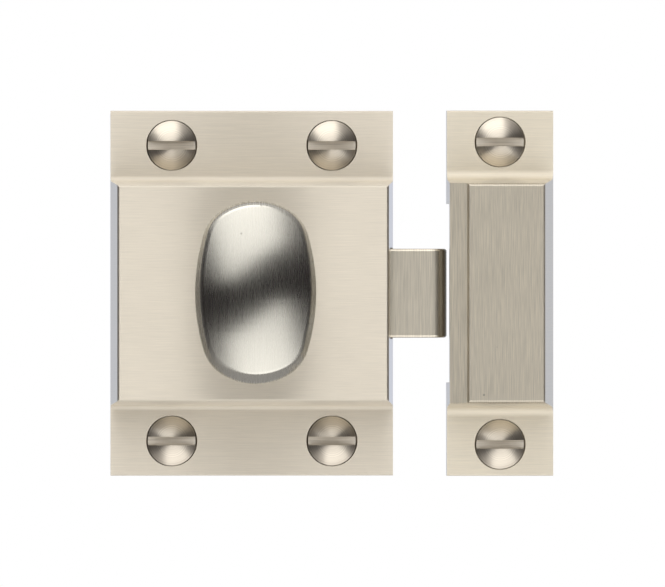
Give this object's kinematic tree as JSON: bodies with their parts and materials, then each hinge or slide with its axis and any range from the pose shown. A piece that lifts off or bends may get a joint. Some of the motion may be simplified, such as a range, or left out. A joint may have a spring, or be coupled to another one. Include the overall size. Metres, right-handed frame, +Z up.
{
  "type": "cupboard catch latch",
  "caption": "Surface-mounted cupboard latch with a turning oval knob, a sprung sliding bolt and a separate hollow keep.",
  "frame": {"origin": "where the knob's axis meets the mounting plane, in the middle of the latch's flat back", "axes": "+Z up, +X the way the bolt points, +Y into the door; the knob and both fronts face -Y"},
  "size_m": [0.062, 0.0408, 0.0512],
  "materials": {
    "satin_nickel": "satin brushed nickel plate on cast brass",
    "bright_nickel": "bright nickel plate on brass screws",
    "zinc_steel": "bright zinc-plated steel",
    "spring_steel": "drawn spring wire"
  },
  "bodies": {
    "case": {"latch_case": "satin_nickel", "back_plate": "zinc_steel", "back_plate_screw_1": "zinc_steel", "back_plate_screw_2": "zinc_steel", "back_plate_screw_3": "zinc_steel", "back_plate_screw_4": "zinc_steel", "knob_washer": "satin_nickel", "bolt_spring": "spring_steel", "case_screw_1": "bright_nickel", "case_screw_2": "bright_nickel", "case_screw_3": "bright_nickel", "case_screw_4": "bright_nickel", "keep": "satin_nickel", "keep_screw_1": "bright_nickel", "keep_screw_2": "bright_nickel"},
    "knob": {"turn_knob": "satin_nickel", "follower": "zinc_steel", "follower_washer": "zinc_steel", "follower_screw": "zinc_steel"},
    "bolt": {"latch_bolt": "satin_nickel"}
  },
  "joints": [
    {"name": "knob_turn", "type": "hinge", "parent": "case", "child": "knob", "pos_m": [0, -0.0086, 0], "axis": [0, 1, 0], "range_deg": [0, 60], "stiffness_Nm_per_rad": 0.0015, "springref_deg": -68.75},
    {"name": "bolt_slide", "type": "slide", "parent": "case", "child": "bolt", "axis": [-1, 0, 0], "range_m": [0, 0.0063], "deforming": ["bolt_spring"]}
  ],
  "couplings": [
    {"joint": "bolt_slide", "follows": "knob_turn", "m_per_rad": 0.006016}
  ]
}
